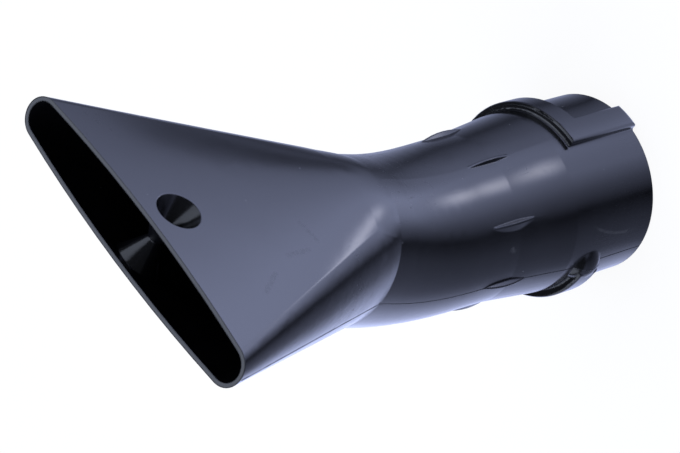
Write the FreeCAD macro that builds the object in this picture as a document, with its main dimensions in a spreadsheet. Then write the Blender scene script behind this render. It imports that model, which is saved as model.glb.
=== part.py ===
# Flat fan nozzle tube for a leaf blower: one blow-moulded piece, hollow right through.
# Sizes in millimetres and degrees. It stands on its socket rim: origin at the rim centre,
# +Z up along the socket, the bend leans the fan towards +X, and the wide mouth runs along Y.

import FreeCAD
import Part
import Sketcher
import math
import os

DOC = FreeCAD.newDocument("nozzle_tube")
ORIGIN = (-1, 1)
ACROSS, UPRIGHT = -1, -2


# Driving dimensions

SIZES = [
    ("socket_radius", 37.0, "outside of the straight socket"),
    ("socket_run", 45.0, "rim to the start of the cone"),
    ("cone_run", 29.5, "height of the cone above the socket"),
    ("crease_radius", 34.0, "outside where the cone meets the neck"),
    ("lead_run", 17.2, "crease to the start of the bend"),
    ("bend_start_radius", 33.7, "outside where the bend starts"),
    ("bend_radius", 150.0, "centre line of the bend"),
    ("bend_angle", 18.4, "lean of the fan"),
    ("neck_run", 11.2, "straight length after the bend"),
    ("neck_radius", 32.7, "outside where the fan starts"),
    ("fan_run", 115.3, "neck to the mouth along the fan"),
    ("roof_half_width", 22.0, "part of the neck circle that becomes the flat faces"),
    ("blend_run", 16.0, "part of the fan where the flat faces curve out of the neck"),
    ("mouth_width", 132.0, "outside of the mouth, end to end"),
    ("mouth_height", 21.6, "outside of the mouth at its middle"),
    ("mouth_end_radius", 8.0, "rounded ends of the mouth"),
    ("wall", 2.0, "wall of the tube"),
    ("mouth_wall", 1.7, "wall at the mouth"),
    ("ridge_run", 24.0, "length of a ridge on the skin"),
    ("ridge_lift", 1.5, "ridge middle above the crease"),
    ("ridge_height", 1.8, "ridge above the skin at its middle"),
    ("ridge_crest", 0.9, "flat top of a ridge"),
    ("ridge_draft", 0.25, "sideways lean of a steep flank, per unit of height"),
    ("ridge_slope", 1.3, "sideways lean of a sloped flank, per unit of height"),
    ("channel_height", 3.6, "bayonet channel above the socket"),
    ("channel_width", 10.6, "outside width of the channel"),
    ("channel_round", 1.3, "rounding of the channel's outer edges"),
    ("channel_foot", 1.1, "hollow rounding where the channel meets the socket"),
    ("band_level", 32.4, "middle of the cross run above the rim"),
    ("band_turn", 87.0, "strip middle to the middle of the detent pocket"),
    ("pocket_radius", 9.6, "ball of the detent pocket"),
    ("pocket_reach", 31.4, "ball centre from the tube axis"),
    ("post_inset", 12.6, "middle of the kiss-off from the mouth"),
    ("dimple_radius", 8.6, "kiss-off dimple where it meets the face"),
    ("dimple_floor_radius", 1.2, "small end of a dimple"),
    ("weld", 2.0, "thickness where the two dimples meet"),
]

sizes = DOC.addObject("Spreadsheet::Sheet", "sizes")
for row, (alias, number, note) in enumerate(SIZES, start=1):
    sizes.set("A%d" % row, alias)
    sizes.set("B%d" % row, str(number))
    sizes.set("C%d" % row, note)
    sizes.setAlias("B%d" % row, alias)
DOC.recompute()


def value(expression):
    """Number that an expression on the sheet gives now."""
    return float(sizes.evalExpression(expression))


# Places along the centre line, as expressions on the sheet

LEAN = "sizes.bend_angle * 1 deg"
CREASE_Z = "(sizes.socket_run + sizes.cone_run)"
BEND_Z = "(sizes.socket_run + sizes.cone_run + sizes.lead_run)"


def along_fan(run):
    """X and Z of the centre line, a given run past the end of the bend."""
    x = "(sizes.bend_radius * (1 - cos(%s)) + (%s) * sin(%s))" % (LEAN, run, LEAN)
    z = "(%s + sizes.bend_radius * sin(%s) + (%s) * cos(%s))" % (BEND_Z, LEAN, run, LEAN)
    return x, z


NECK_X, NECK_Z = along_fan("sizes.neck_run")
BLEND_HEIGHT = (
    "((sizes.neck_radius * (sizes.fan_run - sizes.blend_run)"
    " + sizes.mouth_height * sizes.blend_run / 4) / (sizes.fan_run - sizes.blend_run / 2))")
POST_X, POST_Z = along_fan("sizes.neck_run + sizes.fan_run - sizes.post_inset")


# Sketch helpers

def new_body(name):
    body = DOC.addObject("PartDesign::Body", name)
    body.Label = name
    return body


def new_sketch(body, name, plane):
    """Sketch on one of the body's own origin planes: XY, XZ or YZ."""
    sketch = body.newObject("Sketcher::SketchObject", name)
    flat = [item for item in body.Origin.OriginFeatures if item.Role == plane + "_Plane"][0]
    sketch.AttachmentSupport = [(flat, "")]
    sketch.MapMode = "FlatFace"
    return sketch


def shift(item, x="0", y="0", z="0", turn=None, angle="0"):
    """Offset and turn of a sketch or solid from its plane, bound to the sheet."""
    spin = FreeCAD.Rotation(turn or FreeCAD.Vector(0, 0, 1), value(angle) if turn else 0)
    item.AttachmentOffset = FreeCAD.Placement(FreeCAD.Vector(value(x), value(y), value(z)), spin)
    for axis, expression in (("x", x), ("y", y), ("z", z)):
        if expression != "0":
            item.setExpression("AttachmentOffset.Base." + axis, expression)
    if turn:
        item.setExpression("AttachmentOffset.Rotation.Angle", angle)


def bind(sketch, kind, *where_and_expression):
    """Dimension whose number comes from the sheet."""
    where = where_and_expression[:-1]
    expression = where_and_expression[-1]
    index = sketch.addConstraint(Sketcher.Constraint(kind, *where, value(expression)))
    sketch.setExpression("Constraints[%d]" % index, expression)


def fix(sketch, kind, *where):
    sketch.addConstraint(Sketcher.Constraint(kind, *where))


def place_point(sketch, line, end, x, y):
    """Pin an end of a line at two expressions, or on an axis where one is 0."""
    if x == "0":
        fix(sketch, "PointOnObject", line, end, UPRIGHT)
    else:
        bind(sketch, "DistanceX", *ORIGIN, line, end, x)
    if y == "0":
        fix(sketch, "PointOnObject", line, end, ACROSS)
    else:
        bind(sketch, "DistanceY", *ORIGIN, line, end, y)


def polygon(sketch, corners):
    """Closed outline of straight lines through corners given as pairs of expressions."""
    spots = [FreeCAD.Vector(value(x), value(y), 0) for x, y in corners]
    count = len(spots)
    for index in range(count):
        sketch.addGeometry(Part.LineSegment(spots[index], spots[(index + 1) % count]), False)
    for index in range(count):
        fix(sketch, "Coincident", index, 2, (index + 1) % count, 1)
    for index, (x, y) in enumerate(corners):
        place_point(sketch, index, 1, x, y)


def arc(centre_x, centre_y, radius, start, end):
    circle = Part.Circle(FreeCAD.Vector(centre_x, centre_y, 0), FreeCAD.Vector(0, 0, 1), radius)
    return Part.ArcOfCircle(circle, start, end)


def circle_sketch(sketch, radius):
    centre = FreeCAD.Vector(0, 0, 0)
    sketch.addGeometry(Part.Circle(centre, FreeCAD.Vector(0, 0, 1), value(radius)), False)
    fix(sketch, "Coincident", 0, 3, *ORIGIN)
    bind(sketch, "Radius", 0, radius)


def neck_sketch(sketch, radius, roof):
    """Neck circle in four arcs: two narrow ones on X that grow into the flat faces."""
    size = value(radius)
    half = math.asin(value(roof) / size)
    turns = [-half, half, math.pi - half, math.pi + half, 2 * math.pi - half]
    for index in range(4):
        sketch.addGeometry(arc(0, 0, size, turns[index], turns[index + 1]), False)
    for index in range(3):
        fix(sketch, "Coincident", index, 3, *ORIGIN)
        fix(sketch, "Coincident", index, 2, index + 1, 1)
    fix(sketch, "Coincident", 3, 2, 0, 1)
    fix(sketch, "Equal", 3, 0)
    bind(sketch, "Radius", 0, radius)
    fix(sketch, "Vertical", 0, 1, 0, 2)
    fix(sketch, "Horizontal", 1, 1, 1, 2)
    fix(sketch, "Vertical", 2, 1, 2, 2)
    bind(sketch, "DistanceY", *ORIGIN, 0, 2, roof)


def mouth_sketch(sketch, half_width, half_height, end_radius):
    """Mouth outline: two bowed long sides, facing +X and -X, and two rounded ends on Y."""
    reach = "((%s) - (%s))" % (half_width, end_radius)
    rise = "((%s) - (%s))" % (half_height, end_radius)
    bow = "(%s) + (%s ^ 2 + %s ^ 2) / (2 * %s)" % (end_radius, reach, rise, rise)
    small, large, out = value(end_radius), value(bow), value(reach)
    drop = large - value(half_height)
    half = math.asin(out / (large - small))
    sketch.addGeometry(arc(-drop, 0, large, -half, half), False)
    sketch.addGeometry(arc(0, out, small, half, math.pi - half), False)
    sketch.addGeometry(arc(drop, 0, large, math.pi - half, math.pi + half), False)
    sketch.addGeometry(arc(0, -out, small, math.pi + half, 2 * math.pi - half), False)
    for index in range(4):
        fix(sketch, "Tangent", index, 2, (index + 1) % 4, 1)
    for end in (1, 3):
        fix(sketch, "PointOnObject", end, 3, UPRIGHT)
        bind(sketch, "Radius", end, end_radius)
    bind(sketch, "DistanceY", *ORIGIN, 1, 3, reach)
    bind(sketch, "DistanceY", 3, 3, *ORIGIN, reach)
    bind(sketch, "Radius", 0, bow)
    bind(sketch, "Radius", 2, bow)


def half_disc(sketch, x, y, radius):
    """Half disc, with its straight side upright as the axis to turn it about."""
    size = value(radius)
    low = FreeCAD.Vector(value(x), value(y) - size, 0)
    high = FreeCAD.Vector(value(x), value(y) + size, 0)
    sketch.addGeometry(arc(value(x), value(y), size, -math.pi / 2, math.pi / 2), False)
    sketch.addGeometry(Part.LineSegment(high, low), False)
    sketch.addGeometry(Part.LineSegment(low, high), True)
    for arc_end, line_end in ((1, 2), (2, 1)):
        fix(sketch, "Coincident", 0, arc_end, 1, line_end)
        fix(sketch, "Coincident", 1, line_end, 2, arc_end)
    fix(sketch, "Vertical", 1)
    fix(sketch, "PointOnObject", 0, 3, 1)
    bind(sketch, "Radius", 0, radius)
    bind(sketch, "DistanceX", *ORIGIN, 0, 3, x)
    bind(sketch, "DistanceY", *ORIGIN, 0, 3, y)


def revolve(body, name, sketch, axis, angle=None, kind="PartDesign::Revolution"):
    feature = body.newObject(kind, name)
    feature.Profile = sketch
    feature.ReferenceAxis = (sketch, [axis])
    feature.Angle = 360.0
    if angle:
        feature.Angle = value(angle)
        feature.setExpression("Angle", angle)
    DOC.recompute()
    return feature


def ring_of(body, name, originals, count):
    """Repeat features evenly round the tube axis."""
    pattern = body.newObject("PartDesign::PolarPattern", name)
    upright = [item for item in body.Origin.OriginFeatures if item.Role == "Z_Axis"][0]
    pattern.Originals = originals
    pattern.Axis = (upright, [""])
    pattern.Angle = 360.0
    pattern.Occurrences = int(value(count))
    pattern.setExpression("Occurrences", count)
    body.Tip = pattern
    DOC.recompute()
    return pattern


# Skin of the tube: straight socket, bend and fan, moved inwards by a wall

def add_skin(body, tag, wall, mouth_wall):
    def inset(alias):
        return "sizes.%s - %s" % (alias, wall)

    profile = new_sketch(body, tag + "_profile", "XZ")
    polygon(profile, [
        ("0", "0"),
        (inset("socket_radius"), "0"),
        (inset("socket_radius"), "sizes.socket_run"),
        (inset("crease_radius"), CREASE_Z),
        (inset("bend_start_radius"), BEND_Z),
        ("0", BEND_Z),
    ])
    revolve(body, tag + "_socket", profile, "V_Axis")

    start = new_sketch(body, tag + "_bend_start", "XY")
    shift(start, z=BEND_Z)
    circle_sketch(start, inset("bend_start_radius"))
    end = new_sketch(body, tag + "_bend_end", "XY")
    shift(end, x=NECK_X, z=NECK_Z, turn=FreeCAD.Vector(0, 1, 0), angle="sizes.bend_angle")
    circle_sketch(end, inset("neck_radius"))
    spine = new_sketch(body, tag + "_spine", "XZ")
    spine_sketch(spine)
    DOC.recompute()
    bend = body.newObject("PartDesign::AdditivePipe", tag + "_bend")
    bend.Profile = start
    bend.Spine = spine
    bend.Sections = [end]
    bend.Transformation = "Multisection"
    DOC.recompute()

    neck = fan_plane(body, tag + "_neck", "0")
    neck_sketch(neck, inset("neck_radius"), "sizes.roof_half_width")
    halfway = fan_plane(body, tag + "_halfway", "sizes.blend_run / 2")
    blend_sketch(halfway, "sizes.blend_run / 2", "(3 * sizes.neck_radius + %s) / 4" % BLEND_HEIGHT, wall)
    straight = fan_plane(body, tag + "_straight", "sizes.blend_run")
    blend_sketch(straight, "sizes.blend_run", BLEND_HEIGHT, wall)
    mouth = fan_plane(body, tag + "_mouth", "sizes.fan_run")
    mouth_sketch(
        mouth,
        "sizes.mouth_width / 2 - " + mouth_wall,
        "sizes.mouth_height / 2 - " + mouth_wall,
        "sizes.mouth_end_radius - " + mouth_wall,
    )
    DOC.recompute()
    blend = body.newObject("PartDesign::AdditiveLoft", tag + "_blend")
    blend.Profile = neck
    blend.Sections = [halfway, straight]
    DOC.recompute()
    fan = body.newObject("PartDesign::AdditiveLoft", tag + "_fan")
    fan.Profile = straight
    fan.Sections = [mouth]
    fan.Ruled = True
    DOC.recompute()


def fan_plane(body, name, run):
    """Sketch square to the fan, a run past the neck."""
    sketch = new_sketch(body, name, "XY")
    x, z = along_fan("sizes.neck_run + " + run)
    shift(sketch, x=x, z=z, turn=FreeCAD.Vector(0, 1, 0), angle="sizes.bend_angle")
    return sketch


def blend_sketch(sketch, run, half_height, wall):
    """Oval between the neck and the mouth, as wide as the straight sides are there."""
    share = "(%s) / sizes.fan_run" % run
    half_width = "sizes.neck_radius + (sizes.mouth_width / 2 - sizes.neck_radius) * " + share
    end_radius = "sizes.neck_radius + (sizes.mouth_end_radius - sizes.neck_radius) * " + share
    mouth_sketch(
        sketch,
        "%s - %s" % (half_width, wall),
        "%s - %s" % (half_height, wall),
        "%s - %s" % (end_radius, wall),
    )


def spine_sketch(sketch):
    """Centre line of the bend and of the short neck after it."""
    size = value("sizes.bend_radius")
    lean = math.radians(value("sizes.bend_angle"))
    sketch.addGeometry(arc(size, value(BEND_Z), size, math.pi - lean, math.pi), False)
    joint = FreeCAD.Vector(size * (1 - math.cos(lean)), value(BEND_Z) + size * math.sin(lean), 0)
    sketch.addGeometry(
        Part.LineSegment(joint, FreeCAD.Vector(value(NECK_X), value(NECK_Z), 0)), False)
    fix(sketch, "PointOnObject", 0, 2, UPRIGHT)
    bind(sketch, "DistanceY", *ORIGIN, 0, 2, BEND_Z)
    bind(sketch, "DistanceX", *ORIGIN, 0, 3, "sizes.bend_radius")
    bind(sketch, "DistanceY", *ORIGIN, 0, 3, BEND_Z)
    fix(sketch, "Coincident", 0, 1, 1, 1)
    place_point(sketch, 1, 2, NECK_X, NECK_Z)
    bind(sketch, "DistanceX", *ORIGIN, 1, 1, "sizes.bend_radius * (1 - cos(%s))" % LEAN)


# Bayonet channel: a strip up from the rim, a cross run and a ball-shaped detent pocket

def add_channel(body, tag, wall, overlap, rounding=None, foot=None):
    half = "(sizes.channel_width / 2 - %s)" % wall
    half_turn = "(%s / sizes.socket_radius * 180 / pi)" % half
    top = "sizes.socket_radius + sizes.channel_height - " + wall
    under = "sizes.socket_radius - %s - %s" % (wall, overlap)
    low = "sizes.band_level - " + half
    high = "sizes.band_level + " + half

    strip = new_sketch(body, tag + "_strip_profile", "XZ")
    shift(strip, turn=FreeCAD.Vector(0, 1, 0), angle="-" + half_turn)
    polygon(strip, [(under, "0"), (top, "0"), (top, high), (under, high)])
    strip_run = revolve(body, tag + "_strip", strip, "V_Axis", "2 * " + half_turn)

    band = new_sketch(body, tag + "_band_profile", "XZ")
    shift(band, turn=FreeCAD.Vector(0, 1, 0), angle="-" + half_turn)
    polygon(band, [(under, low), (top, low), (top, high), (under, high)])
    band_run = revolve(body, tag + "_band", band, "V_Axis", half_turn + " + sizes.band_turn")
    runs = ring_of(body, tag + "_runs", [strip_run, band_run], "2")
    if rounding:
        eased = round_edges(body, tag + "_rounding", runs, value(top), rounding, -0.02)
        round_edges(body, tag + "_foot", eased, value("sizes.socket_radius"), foot, 0.02)

    ball = new_sketch(body, tag + "_pocket_profile", "XZ")
    shift(ball, turn=FreeCAD.Vector(0, 1, 0), angle="sizes.band_turn")
    half_disc(ball, "sizes.pocket_reach", "sizes.band_level", "sizes.pocket_radius - " + wall)
    pocket = revolve(body, tag + "_pocket", ball, "Axis0")
    ring_of(body, tag + "_pockets", [pocket], "2")


def round_edges(body, name, feature, radius, rounding, lowest):
    """Round the edges that lie at a radius from the tube axis, between a level and the cone."""
    chosen = []
    for index, edge in enumerate(feature.Shape.Edges, start=1):
        first, last = edge.ParameterRange
        spots = [edge.valueAt(first + (last - first) * step / 6.0) for step in range(7)]
        off = max(abs(math.hypot(spot.x, spot.y) - radius) for spot in spots)
        top = max(spot.z for spot in spots)
        if off < 0.02 and lowest < top < value("sizes.socket_run") - 0.02:
            chosen.append("Edge%d" % index)
    fillet = body.newObject("PartDesign::Fillet", name)
    fillet.Base = (feature, chosen)
    fillet.Radius = value(rounding)
    fillet.setExpression("Radius", rounding)
    body.Tip = fillet
    DOC.recompute()
    return fillet


# Grip ridges: the narrow rim of a wheel that stands in the skin, on eight sides of the crease.
# Between the mould's joint and its middle, the flank that faces the joint slopes to let go.

def add_ridge(body, name, turn, lower_lean, upper_lean, count):
    height = "sizes.ridge_height"
    depth = "(%s + sizes.wall / 2)" % height
    sweep = "((sizes.ridge_run ^ 2 / 4 + %s ^ 2) / (2 * %s))" % (height, height)
    crest = "(sizes.crease_radius + %s)" % height
    root = "%s - %s" % (crest, depth)
    hub = "%s - %s" % (crest, sweep)
    half = "sizes.ridge_crest / 2"
    sketch = new_sketch(body, name + "_profile", "XY")
    shift(
        sketch, z="%s + sizes.ridge_lift" % CREASE_Z,
        turn=FreeCAD.Vector(0, 0, 1), angle=turn)
    polygon(sketch, [
        (crest, "-(%s)" % half),
        (crest, half),
        (root, "%s + sizes.%s * %s" % (half, upper_lean, depth)),
        (root, "-(%s + sizes.%s * %s)" % (half, lower_lean, depth)),
    ])
    middle = FreeCAD.Vector(value(hub), 0, 0)
    arm = FreeCAD.Vector(0, value(half), 0)
    axle = sketch.addGeometry(Part.LineSegment(middle - arm, middle + arm), True)
    fix(sketch, "Symmetric", axle, 1, axle, 2, ACROSS)
    bind(sketch, "DistanceX", *ORIGIN, axle, 1, hub)
    bind(sketch, "DistanceY", axle, 1, axle, 2, "sizes.ridge_crest")
    arc_kept = "2.8 * asin(sizes.ridge_run / 2 / %s)" % sweep
    ridge = revolve(body, name, sketch, "Axis0", arc_kept)
    ridge.Midplane = True
    DOC.recompute()
    ring_of(body, name + "_ring", [ridge], count)


def add_ridges(body):
    add_ridge(body, "ridge", "0", "ridge_draft", "ridge_draft", "4")
    add_ridge(body, "near_ridge", "-45", "ridge_slope", "ridge_draft", "2")
    add_ridge(body, "far_ridge", "45", "ridge_draft", "ridge_slope", "2")


# Kiss-off: two dimples that meet in the middle of the fan near the mouth

def post_profile(body, name, small, grow, middle, reach):
    """Outline, along the dimple axis, of one or both cones about the fan's middle."""
    sketch = new_sketch(body, name, "XZ")
    shift(
        sketch, x=POST_X, y=POST_Z,
        turn=FreeCAD.Vector(0, 0, 1), angle="-sizes.bend_angle")
    wide = "(%s) + (%s) * (%s)" % (small, grow, reach)
    if middle == "0":
        back = "-(%s)" % reach
        corners = [(back, "0"), (back, wide), ("0", small), (reach, wide), (reach, "0")]
    else:
        corners = [(middle, "0"), (middle, small), (reach, wide), (reach, "0")]
    polygon(sketch, corners)
    return sketch


FACE_HEIGHT = (
    "(sizes.mouth_height / 2 + (%s - sizes.mouth_height / 2)"
    " * sizes.post_inset / (sizes.fan_run - sizes.blend_run))" % BLEND_HEIGHT)
DIMPLE_GROW = "(sizes.dimple_radius - sizes.dimple_floor_radius) / %s" % FACE_HEIGHT
REACH = "sizes.neck_radius"


# Inside of the tube, as a body of its own that is taken out of the outside

core = new_body("core")
add_skin(core, "core", "sizes.wall", "sizes.mouth_wall")
add_channel(core, "groove", "sizes.wall", "sizes.wall")
post = post_profile(
    core, "post_profile", "sizes.dimple_floor_radius + sizes.mouth_wall", DIMPLE_GROW, "0", REACH)
core_post = revolve(core, "post", post, "H_Axis", kind="PartDesign::Groove")
core.Tip = core_post
DOC.recompute()


# The nozzle: outside, ridges and channels, then hollowed and dimpled

nozzle = new_body("nozzle")
add_skin(nozzle, "skin", "0", "0")
add_ridges(nozzle)
add_channel(nozzle, "channel", "0", "sizes.wall", "sizes.channel_round", "sizes.channel_foot")

hollow = nozzle.newObject("PartDesign::Boolean", "hollow")
hollow.setObjects([core])
hollow.Type = "Cut"
nozzle.Tip = hollow
DOC.recompute()

for side in (1, -1):
    word = "front" if side > 0 else "back"
    floor = "sizes.weld / 2"
    sketch = post_profile(
        nozzle, word + "_dimple_profile", "sizes.dimple_floor_radius", DIMPLE_GROW, floor, REACH)
    if side < 0:
        sketch.setExpression("AttachmentOffset.Rotation.Angle", "180 - sizes.bend_angle")
    DOC.recompute()
    dimple = revolve(nozzle, word + "_dimple", sketch, "H_Axis", kind="PartDesign::Groove")
    nozzle.Tip = dimple
    DOC.recompute()


# Check the build and write the part

for item in DOC.Objects:
    if "Invalid" in item.State or "Error" in item.State:
        raise RuntimeError("%s is not valid: %s" % (item.Name, item.State))
if nozzle.Shape.isNull() or not nozzle.Shape.isValid() or len(nozzle.Shape.Solids) != 1:
    raise RuntimeError("the nozzle is not one sound solid")
shape = nozzle.Shape.Solids[0]
os.makedirs("parts", exist_ok=True)
shape.exportStep("parts/nozzle.step")
print("volume", round(shape.Volume, 1), "box", shape.BoundBox, "centre", shape.CenterOfMass)
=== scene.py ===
import math

import bpy
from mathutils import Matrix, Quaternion, Vector
from mathutils.bvhtree import BVHTree


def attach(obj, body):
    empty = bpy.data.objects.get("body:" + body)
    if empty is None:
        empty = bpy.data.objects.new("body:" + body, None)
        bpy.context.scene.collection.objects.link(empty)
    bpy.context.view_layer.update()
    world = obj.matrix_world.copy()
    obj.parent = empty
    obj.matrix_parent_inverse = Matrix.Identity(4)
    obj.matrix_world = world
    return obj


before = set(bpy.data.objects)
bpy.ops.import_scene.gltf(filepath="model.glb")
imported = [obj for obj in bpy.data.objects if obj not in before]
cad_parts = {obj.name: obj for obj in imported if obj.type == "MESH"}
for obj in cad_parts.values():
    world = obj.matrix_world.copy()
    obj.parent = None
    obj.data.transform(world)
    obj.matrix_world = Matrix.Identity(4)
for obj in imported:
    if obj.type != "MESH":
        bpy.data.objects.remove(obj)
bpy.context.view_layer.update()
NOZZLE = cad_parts["nozzle"]


# Tube, in metres, as the part is built

BEND_START = 0.0917
BEND_RADIUS = 0.150
LEAN = math.radians(18.4)
MOUTH_RUN = 0.1265
SOCKET_RADIUS = 0.037


# Parting line, in metres

PARTING_STEP = 0.0012
PARTING_HALF_WIDTH = 0.00015
PARTING_SIDES = 6
CAST_FROM = 0.2


# Camera: the photograph's viewing angle on the standing nozzle

AIM = Vector((-0.0170, 0.0230, 0.1119))
AZIMUTH = math.radians(-32.78)
ELEVATION = math.radians(40.355)
DISTANCE = 1.0257
ROLL = math.radians(-106.0)
LENS = 137.67
SENSOR = 36.0
CLIP_START = 0.01


# Moulding: its colours, its grains as repeats in a metre, and its bumps with their height in metres

BLACK = (0.0032, 0.0033, 0.0042, 1)
BLACK_WORN = (0.0060, 0.0062, 0.0078, 1)
DUST = (0.26, 0.26, 0.28, 1)
PLASTIC_IOR = 1.52
SATIN_ROUGHNESS = 0.13
SKIN_GRAIN = 2600.0
SWELL_GRAIN = 22.0
CLOUD_GRAIN = 34.0
CLOUD_WORN = (0.40, 0.72)
EDGE_RADIUS = 0.0007
EDGE_SAMPLES = 6
SWELL_BUMP = {"Strength": 0.35, "Distance": 0.0010}
SKIN_BUMP = {"Strength": 0.22, "Distance": 0.00006}


# Marks on the moulding, in metres. A pair of numbers is where a soft step starts and where it is full.

SCRATCH_PATCH_GRAIN = 19.0
SCRATCH_PATCH = (0.50, 0.66)
SCRATCH_ROUGH = 0.55
SCRATCHES = [
    {"turn": (0.2, 0.9, 0.3), "stretch": (900.0, 900.0, 26.0), "step": (0.655, 0.69)},
    {"turn": (1.1, 0.2, 0.8), "stretch": (1300.0, 60.0, 1300.0), "step": (0.67, 0.70)},
]
SPECK_GRAIN = 210.0
SPECK_SIZE = 0.055
SPECK_CHANCE = 0.86
SMEAR_HEIGHT = 0.012
SMEAR_ARC = -0.0466
SMEAR_CURVE = 12.75
SMEAR_EDGE = (0.0003, 0.0010)
SMEAR_FOOT = (0.007, 0.013)
SMEAR_HEAD = (0.029, 0.036)
SMEAR_GRAIN = 240.0
SMEAR_BREAKS = (0.25, 0.55)
SMUDGE = (0.0157, -0.0307, 0.0783)
SMUDGE_EDGE = (0.0008, 0.0028)
SMUDGE_GRAIN = 420.0
SMUDGE_BREAKS = (0.42, 0.62)
SCUFFS = [
    ((0.0498, -0.0138, 0.1940), (0.0484, -0.0222, 0.1912)),
    ((0.0508, -0.0262, 0.2095), (0.0491, -0.0252, 0.1981)),
    ((0.0526, -0.0388, 0.2293), (0.0518, -0.0324, 0.2202)),
]
SCUFF_EDGE = (0.0004, 0.0016)
SCUFF_GRAIN = 900.0
SCUFF_BREAKS = (0.30, 0.62)


# How far each mark adds dust to the colour, adds roughness and stands out of the skin

MARKS = {
    "skin": {"relief": 0.5},
    "cloud": {"roughness": 0.12},
    "scratch": {"roughness": 0.16, "relief": -0.9},
    "speck": {"dust": 0.55, "roughness": 0.3, "relief": 0.8},
    "smear": {"dust": 0.12, "roughness": 0.15},
    "smudge": {"dust": 0.14},
    "scuff": {"roughness": 0.12, "relief": -0.5},
}


# Painted reflections: to glossy rays only, the floor glows in a painted pattern of two dark bands, a wide
# bright area and a small highlight spot on white.
# Each stop is a bearing round the socket in degrees and a share of the full glow.

PAINTED_REFLECTION_STOPS = [
    (-205, 0.56), (-165, 0.45), (-135, 0.18), (-95, 0.13), (-66, 0.03), (-42, 0.36), (-18, 0.86),
    (18, 0.96), (32, 0.64), (54, 0.35), (88, 0.05), (140, 0.25),
]
PAINTED_REFLECTION_STRENGTH = 3.4
# colour of the painted reflections
PAINTED_REFLECTION_TINT = (0.58, 0.65, 1.0, 1)
GLOW_AT_SOCKET = 0.7
GLOW_GAIN = 2.5
GLOW_FULL = 1.4
GLOW_SEAM = 140.0
FULL_TURN = 360.0
NEAR_TURN = 33.0
NEAR_FADE = 2.0
# Painted shade in the reflections: a dark patch in the floor's glow on the far side
PAINTED_DARK_BEARING = 66.0
PAINTED_DARK_SHADE = 0.65
PAINTED_DARK_EDGE = (5.0, 14.0)
PAINTED_DARK_NEAR = (0.12, 0.15)
PAINTED_DARK_FAR = (0.23, 0.30)
# Painted highlight: a small bright spot in the floor's glow, seen only in the gloss, which paints the
# highlight on the socket's cone
PAINTED_HIGHLIGHT_TINT = (0.80, 0.82, 1.0, 1)
PAINTED_HIGHLIGHT_SPOT = (0.122, -0.018, 0.0)
PAINTED_HIGHLIGHT_REACH = 0.028
PAINTED_HIGHLIGHT_STRENGTH = 6.8


# Floor, room and softboxes: each box has its place, the width of its square and its power

FLOOR_REACH = 30.0
FLOOR_WHITE = (0.94, 0.94, 0.94, 1)
FLOOR_GLOW = (1.0, 1.0, 1.0, 1)
FLOOR_GLOW_STRENGTH = 1.06
FLOOR_GLOW_SHARE = 0.85
ROOM = (0.80, 0.86, 1.0, 1)
ROOM_STRENGTH = 0.08
COOL_LAMP = (0.72, 0.80, 1.0)
SOFTBOX_AIM = Vector((0.02, 0.0, 0.13))
SOFTBOXES = {
    "top_box": ((-0.25, 0.85, 2.1), 1.2, 12.0),
    "back_box": ((1.2, 1.2, 1.7), 2.0, 20.0),
    "side_box": ((-1.5, -1.1, 1.4), 2.2, 26.0),
    "front_box": ((0.3, -0.7, 2.2), 2.0, 21.0),
}


class Wire:
    """A shader socket that can stand in Python sums."""

    def __init__(self, graph, socket):
        self.graph = graph
        self.socket = socket

    def output(self, name):
        """Another output of the same node."""
        return Wire(self.graph, self.socket.node.outputs[name])

    def __add__(self, other):
        return self.graph.maths("ADD", self, other)

    def __radd__(self, other):
        return self.graph.maths("ADD", other, self)

    def __sub__(self, other):
        return self.graph.maths("SUBTRACT", self, other)

    def __rsub__(self, other):
        return self.graph.maths("SUBTRACT", other, self)

    def __mul__(self, other):
        return self.graph.maths("MULTIPLY", self, other)

    def __rmul__(self, other):
        return self.graph.maths("MULTIPLY", other, self)

    def __truediv__(self, other):
        return self.graph.maths("DIVIDE", self, other)

    def __rtruediv__(self, other):
        return self.graph.maths("DIVIDE", other, self)

    def __lt__(self, other):
        return self.graph.maths("LESS_THAN", self, other)

    def __gt__(self, other):
        return self.graph.maths("GREATER_THAN", self, other)


class Graph:
    """Node tree of one material or of the world."""

    def __init__(self, owner):
        owner.use_nodes = True
        self.tree = owner.node_tree
        self.tree.nodes.clear()

    def node(self, kind, settings=None, sockets=None, output=0):
        """Add a node: its settings first, then the values or links of its sockets."""
        made = self.tree.nodes.new(kind)
        for name, value in (settings or {}).items():
            if name == "stops":
                while len(made.color_ramp.elements) < len(value):
                    made.color_ramp.elements.new(1.0)
                for stop, (place, level) in zip(made.color_ramp.elements, value):
                    stop.position = place
                    stop.color = (level, level, level, 1)
            else:
                setattr(made, name, value)
        for name, value in (sockets or {}).items():
            if isinstance(value, Wire):
                self.tree.links.new(value.socket, made.inputs[name])
            else:
                made.inputs[name].default_value = value
        return Wire(self, made.outputs[output]) if made.outputs else None

    def maths(self, operation, first, second=0.0):
        return self.node("ShaderNodeMath", {"operation": operation}, {0: first, 1: second})

    def scaled(self, vector, scale):
        return self.node("ShaderNodeVectorMath", {"operation": "SCALE"}, {0: vector, "Scale": scale})

    def distance(self, first, second):
        return self.node(
            "ShaderNodeVectorMath", {"operation": "DISTANCE"}, {0: first, 1: second}, output="Value")

    def noise(self, place, scale, detail=2.0, rough=0.5):
        return self.node(
            "ShaderNodeTexNoise", None,
            {"Vector": place, "Scale": scale, "Detail": detail, "Roughness": rough})

    def soft_step(self, value, low, high):
        """0 below low, 1 above high, smooth between."""
        return self.node(
            "ShaderNodeMapRange", {"interpolation_type": "SMOOTHSTEP"},
            {"Value": value, "From Min": low, "From Max": high})

    def mix(self, factor, first, second):
        return self.node(
            "ShaderNodeMix", {"data_type": "RGBA"},
            {"Factor": factor, 6: first, 7: second}, output=2)


# Moulded plastic: satin black with a fine skin, scratches, dust, a smear, a smudge and scuffs

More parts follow.
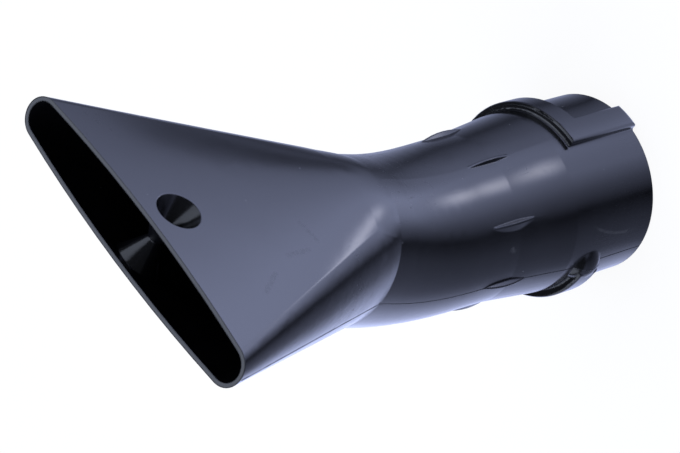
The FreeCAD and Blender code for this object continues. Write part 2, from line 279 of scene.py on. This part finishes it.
def fine_scratches(graph, place):
    """1 on fine scratches, which run two ways and lie in patches."""
    patch = graph.soft_step(graph.noise(place, SCRATCH_PATCH_GRAIN), *SCRATCH_PATCH)
    runs = []
    for scratch in SCRATCHES:
        along = graph.node(
            "ShaderNodeMapping", None,
            {"Vector": place, "Rotation": scratch["turn"], "Scale": scratch["stretch"]})
        streak = graph.noise(along, 1.0, rough=SCRATCH_ROUGH)
        runs.append(graph.soft_step(streak, *scratch["step"]) * patch)
    return sum(runs)


def dust_specks(graph, place):
    """1 on a dot in some of the cells, 0 elsewhere."""
    gap = graph.node(
        "ShaderNodeTexVoronoi", {"feature": "F1"}, {"Vector": place, "Scale": SPECK_GRAIN})
    chance = graph.node("ShaderNodeSeparateColor", None, {"Color": gap.output("Color")})
    return (gap < SPECK_SIZE) * (chance > SPECK_CHANCE)


def socket_smear(graph, place):
    """1 on a thin, curved and broken smear on the near side of the socket."""
    across = graph.node("ShaderNodeSeparateXYZ", None, {"Vector": place})
    height = across.output("Z")
    arc = graph.maths("ARCTAN2", across.output("Y"), across) * SOCKET_RADIUS
    climb = height - SMEAR_HEIGHT
    drift = graph.maths("ABSOLUTE", arc - climb * climb * SMEAR_CURVE - SMEAR_ARC)
    smear = (1.0 - graph.soft_step(drift, *SMEAR_EDGE)) * graph.soft_step(height, *SMEAR_FOOT)
    smear = smear * (1.0 - graph.soft_step(height, *SMEAR_HEAD))
    return smear * graph.soft_step(graph.noise(place, SMEAR_GRAIN), *SMEAR_BREAKS)


def cone_smudge(graph, place):
    """1 on a small round smudge on the cone, broken by a grain."""
    smudge = 1.0 - graph.soft_step(graph.distance(place, SMUDGE), *SMUDGE_EDGE)
    return smudge * graph.soft_step(graph.noise(place, SMUDGE_GRAIN), *SMUDGE_BREAKS)


def stroke(graph, place, start, end):
    """1 on a straight mark from start to end, 0 beside it."""
    run = Vector(end) - Vector(start)
    apart = graph.node("ShaderNodeVectorMath", {"operation": "SUBTRACT"}, {0: place, 1: start})
    along = graph.node(
        "ShaderNodeVectorMath", {"operation": "DOT_PRODUCT"},
        {0: apart, 1: run / run.length_squared}, output="Value")
    along = graph.node("ShaderNodeClamp", None, {"Value": along})
    gap = graph.distance(apart, graph.scaled(run, along))
    return 1.0 - graph.soft_step(gap, *SCUFF_EDGE)


def roof_scuffs(graph, place):
    """1 on the short straight scuffs on the roof of the fan, broken by a grain."""
    strokes = sum(stroke(graph, place, start, end) for start, end in SCUFFS)
    return strokes * graph.soft_step(graph.noise(place, SCUFF_GRAIN), *SCUFF_BREAKS)


def satin_moulding():
    material = bpy.data.materials.new("satin_black_moulding")
    graph = Graph(material)
    place = graph.node("ShaderNodeTexCoord", output="Object")
    cloud = graph.noise(place, CLOUD_GRAIN, detail=4.0, rough=0.62)
    found = {
        "skin": graph.noise(place, SKIN_GRAIN, detail=3.0, rough=0.6),
        "cloud": cloud,
        "scratch": fine_scratches(graph, place),
        "speck": dust_specks(graph, place),
        "smear": socket_smear(graph, place),
        "smudge": cone_smudge(graph, place),
        "scuff": roof_scuffs(graph, place),
    }

    def shown(quality):
        """What all the marks add to the dust, the roughness or the relief."""
        return sum(found[mark] * shares[quality] for mark, shares in MARKS.items() if quality in shares)

    colour = graph.mix(graph.soft_step(cloud, *CLOUD_WORN), BLACK, BLACK_WORN)
    colour = graph.mix(shown("dust"), colour, DUST)
    roughness = SATIN_ROUGHNESS + shown("roughness")
    swell = graph.noise(place, SWELL_GRAIN, detail=1.0)
    normal = graph.node("ShaderNodeBevel", {"samples": EDGE_SAMPLES}, {"Radius": EDGE_RADIUS})
    normal = graph.node("ShaderNodeBump", None, {**SWELL_BUMP, "Height": swell, "Normal": normal})
    normal = graph.node("ShaderNodeBump", None, {**SKIN_BUMP, "Height": shown("relief"), "Normal": normal})
    shader = graph.node(
        "ShaderNodeBsdfPrincipled", None,
        {"Base Color": colour, "Roughness": roughness, "Normal": normal, "IOR": PLASTIC_IOR})
    graph.node("ShaderNodeOutputMaterial", None, {"Surface": shader})
    return material


# Parting line: a fine bead where the two halves of the mould met, on both sides

def centre_line(run):
    """Point on the tube's centre line, a run above the rim."""
    if run < BEND_START:
        return Vector((0, 0, run))
    turn = min((run - BEND_START) / BEND_RADIUS, LEAN)
    rest = run - BEND_START - BEND_RADIUS * turn
    return Vector((
        BEND_RADIUS * (1 - math.cos(turn)) + rest * math.sin(turn),
        0,
        BEND_START + BEND_RADIUS * math.sin(turn) + rest * math.cos(turn),
    ))


def parting_path(surface, side):
    """Points on the moulding's outside, in the plane of the mould's joint."""
    total = BEND_START + BEND_RADIUS * LEAN + MOUTH_RUN
    outside = Vector((0, side, 0))
    points = []
    for step in range(int(total / PARTING_STEP)):
        start = centre_line((step + 0.5) * PARTING_STEP) + outside * CAST_FROM
        hit = surface.ray_cast(start, -outside)[0]
        if hit:
            points.append(hit)
    return points


def parting_tree(material):
    """Geometry nodes that draw a round bead along the edges of a mesh."""
    tree = bpy.data.node_groups.new("parting_bead", "GeometryNodeTree")
    tree.interface.new_socket("Path", in_out="INPUT", socket_type="NodeSocketGeometry")
    width = tree.interface.new_socket("Half width", in_out="INPUT", socket_type="NodeSocketFloat")
    tree.interface.new_socket("Bead", in_out="OUTPUT", socket_type="NodeSocketGeometry")
    start = tree.nodes.new("NodeGroupInput")
    curve = tree.nodes.new("GeometryNodeMeshToCurve")
    ring = tree.nodes.new("GeometryNodeCurvePrimitiveCircle")
    ring.inputs["Resolution"].default_value = PARTING_SIDES
    bead = tree.nodes.new("GeometryNodeCurveToMesh")
    bead.inputs["Fill Caps"].default_value = True
    real = tree.nodes.new("GeometryNodeRealizeInstances")
    finish = tree.nodes.new("GeometryNodeSetMaterial")
    finish.inputs["Material"].default_value = material
    end = tree.nodes.new("NodeGroupOutput")
    tree.links.new(start.outputs["Path"], curve.inputs["Mesh"])
    tree.links.new(start.outputs["Half width"], ring.inputs["Radius"])
    tree.links.new(curve.outputs["Curve"], bead.inputs["Curve"])
    tree.links.new(ring.outputs["Curve"], bead.inputs["Profile Curve"])
    tree.links.new(bead.outputs["Mesh"], real.inputs["Geometry"])
    tree.links.new(real.outputs["Geometry"], finish.inputs["Geometry"])
    tree.links.new(finish.outputs["Geometry"], end.inputs["Bead"])
    return tree, width.identifier


def parting_line(material):
    """One piece with the bead of both sides."""
    surface = BVHTree.FromObject(NOZZLE, bpy.context.evaluated_depsgraph_get())
    points = []
    edges = []
    for side in (-1, 1):
        path = parting_path(surface, side)
        first = len(points)
        points += path
        edges += [(first + index, first + index + 1) for index in range(len(path) - 1)]
    mesh = bpy.data.meshes.new("parting_path")
    mesh.from_pydata(points, edges, [])
    piece = bpy.data.objects.new("parting_line", mesh)
    bpy.context.scene.collection.objects.link(piece)
    tree, width = parting_tree(material)
    modifier = piece.modifiers.new("bead", "NODES")
    modifier.node_group = tree
    modifier[width] = PARTING_HALF_WIDTH
    evaluated = piece.evaluated_get(bpy.context.evaluated_depsgraph_get())
    solid = bpy.data.meshes.new_from_object(evaluated)
    piece.modifiers.clear()
    piece.data = solid
    for face in solid.polygons:
        face.use_smooth = True
    return piece


# Stage: a floor that is white to the camera and glows with painted reflections to the gloss, a room and
# softboxes

def floor_bearing(graph, place, reach):
    """Bearing round the socket in degrees, spread wider close to it."""
    across = graph.node("ShaderNodeSeparateXYZ", None, {"Vector": place})
    bearing = graph.maths("ARCTAN2", across.output("Y"), across) * (180 / math.pi)
    bearing = bearing - (bearing > GLOW_SEAM) * FULL_TURN
    fade = graph.maths("MAXIMUM", reach * NEAR_FADE - SOCKET_RADIUS, SOCKET_RADIUS)
    return bearing + (bearing + NEAR_TURN) * (SOCKET_RADIUS / fade)


def painted_reflection_glow(graph, place, reach):
    """Colour of the floor's painted reflections, which only the gloss sees."""
    bearing = floor_bearing(graph, place, reach)
    first = GLOW_SEAM - FULL_TURN
    share = graph.node(
        "ShaderNodeValToRGB",
        {"stops": [((degrees - first) / FULL_TURN, level) for degrees, level in PAINTED_REFLECTION_STOPS]},
        {"Fac": (bearing - first) / FULL_TURN})
    spread = graph.maths("MINIMUM", GLOW_AT_SOCKET + reach * GLOW_GAIN, GLOW_FULL)
    # painted dark patch: the glow is cut back around the far bearing
    off_painted_dark = graph.maths("ABSOLUTE", bearing - PAINTED_DARK_BEARING)
    painted_dark = (1.0 - graph.soft_step(off_painted_dark, *PAINTED_DARK_EDGE)) * graph.soft_step(reach, *PAINTED_DARK_NEAR)
    painted_dark = painted_dark * (1.0 - graph.soft_step(reach, *PAINTED_DARK_FAR))
    # painted reflection: glow level by bearing, spread and painted dark patch
    painted_level = share * spread * (1.0 - painted_dark * PAINTED_DARK_SHADE) * PAINTED_REFLECTION_STRENGTH
    # painted highlight spot in the floor's glow, not a lamp
    lamp = 1.0 - graph.soft_step(graph.distance(place, PAINTED_HIGHLIGHT_SPOT), 0.0, PAINTED_HIGHLIGHT_REACH)
    return graph.scaled(graph.mix(lamp, PAINTED_REFLECTION_TINT, PAINTED_HIGHLIGHT_TINT), painted_level + lamp * PAINTED_HIGHLIGHT_STRENGTH)


def floor_finish():
    material = bpy.data.materials.new("white_floor_painted_reflections")
    graph = Graph(material)
    camera_ray = graph.node("ShaderNodeLightPath", output="Is Camera Ray")
    seen = camera_ray + camera_ray.output("Is Transmission Ray")
    mirrored = camera_ray.output("Is Glossy Ray")
    place = graph.node("ShaderNodeTexCoord", output="Object")
    reach = graph.node("ShaderNodeVectorMath", {"operation": "LENGTH"}, {0: place}, output="Value")
    outside = reach > SOCKET_RADIUS
    lit = graph.node("ShaderNodeBsdfDiffuse", None, {"Color": FLOOR_WHITE})
    glow = graph.node(
        "ShaderNodeEmission", None, {"Color": FLOOR_GLOW, "Strength": FLOOR_GLOW_STRENGTH})
    # painted reflections: glossy rays see the floor glow in the painted pattern instead of its white
    painted_sheen = graph.node(
        "ShaderNodeEmission", None,
        {"Color": graph.scaled(painted_reflection_glow(graph, place, reach), outside), "Strength": 1.0})
    white = seen * outside * FLOOR_GLOW_SHARE
    shader = graph.node("ShaderNodeMixShader", None, {"Fac": white, 1: lit, 2: glow})
    shader = graph.node("ShaderNodeMixShader", None, {"Fac": mirrored, 1: shader, 2: painted_sheen})
    graph.node("ShaderNodeOutputMaterial", None, {"Surface": shader})
    return material


def floor():
    corners = [(FLOOR_REACH * x, FLOOR_REACH * y, 0) for x, y in ((-1, -1), (1, -1), (1, 1), (-1, 1))]
    mesh = bpy.data.meshes.new("floor")
    mesh.from_pydata(corners, [], [(0, 1, 2, 3)])
    mesh.materials.append(floor_finish())
    sheet = bpy.data.objects.new("floor", mesh)
    bpy.context.scene.collection.objects.link(sheet)


def softbox(name, place, width, power):
    lamp = bpy.data.lights.new(name, "AREA")
    lamp.shape = "SQUARE"
    lamp.size = width
    lamp.energy = power
    lamp.color = COOL_LAMP
    holder = bpy.data.objects.new(name, lamp)
    holder.location = place
    holder.rotation_euler = (SOFTBOX_AIM - Vector(place)).to_track_quat("-Z", "Y").to_euler()
    bpy.context.scene.collection.objects.link(holder)


def studio():
    world = bpy.data.worlds.new("room")
    bpy.context.scene.world = world
    graph = Graph(world)
    air = graph.node("ShaderNodeBackground", None, {"Color": ROOM, "Strength": ROOM_STRENGTH})
    graph.node("ShaderNodeOutputWorld", None, {"Surface": air})
    for name, (place, width, power) in SOFTBOXES.items():
        softbox(name, place, width, power)


def camera():
    lens = bpy.data.cameras.new("photo_view")
    lens.sensor_width = SENSOR
    lens.lens = LENS
    lens.clip_start = CLIP_START
    holder = bpy.data.objects.new("photo_view", lens)
    back = Vector((
        math.cos(ELEVATION) * math.cos(AZIMUTH),
        math.cos(ELEVATION) * math.sin(AZIMUTH),
        math.sin(ELEVATION),
    ))
    holder.location = AIM + back * DISTANCE
    level = back.to_track_quat("Z", "Y")
    holder.rotation_euler = (level @ Quaternion((0, 0, 1), ROLL)).to_euler()
    bpy.context.scene.collection.objects.link(holder)
    bpy.context.scene.camera = holder


moulding = satin_moulding()
NOZZLE.data.materials.clear()
NOZZLE.data.materials.append(moulding)
bead = parting_line(moulding)
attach(bead, "root")

floor()
studio()
camera()
bpy.context.scene.view_settings.view_transform = "Standard"
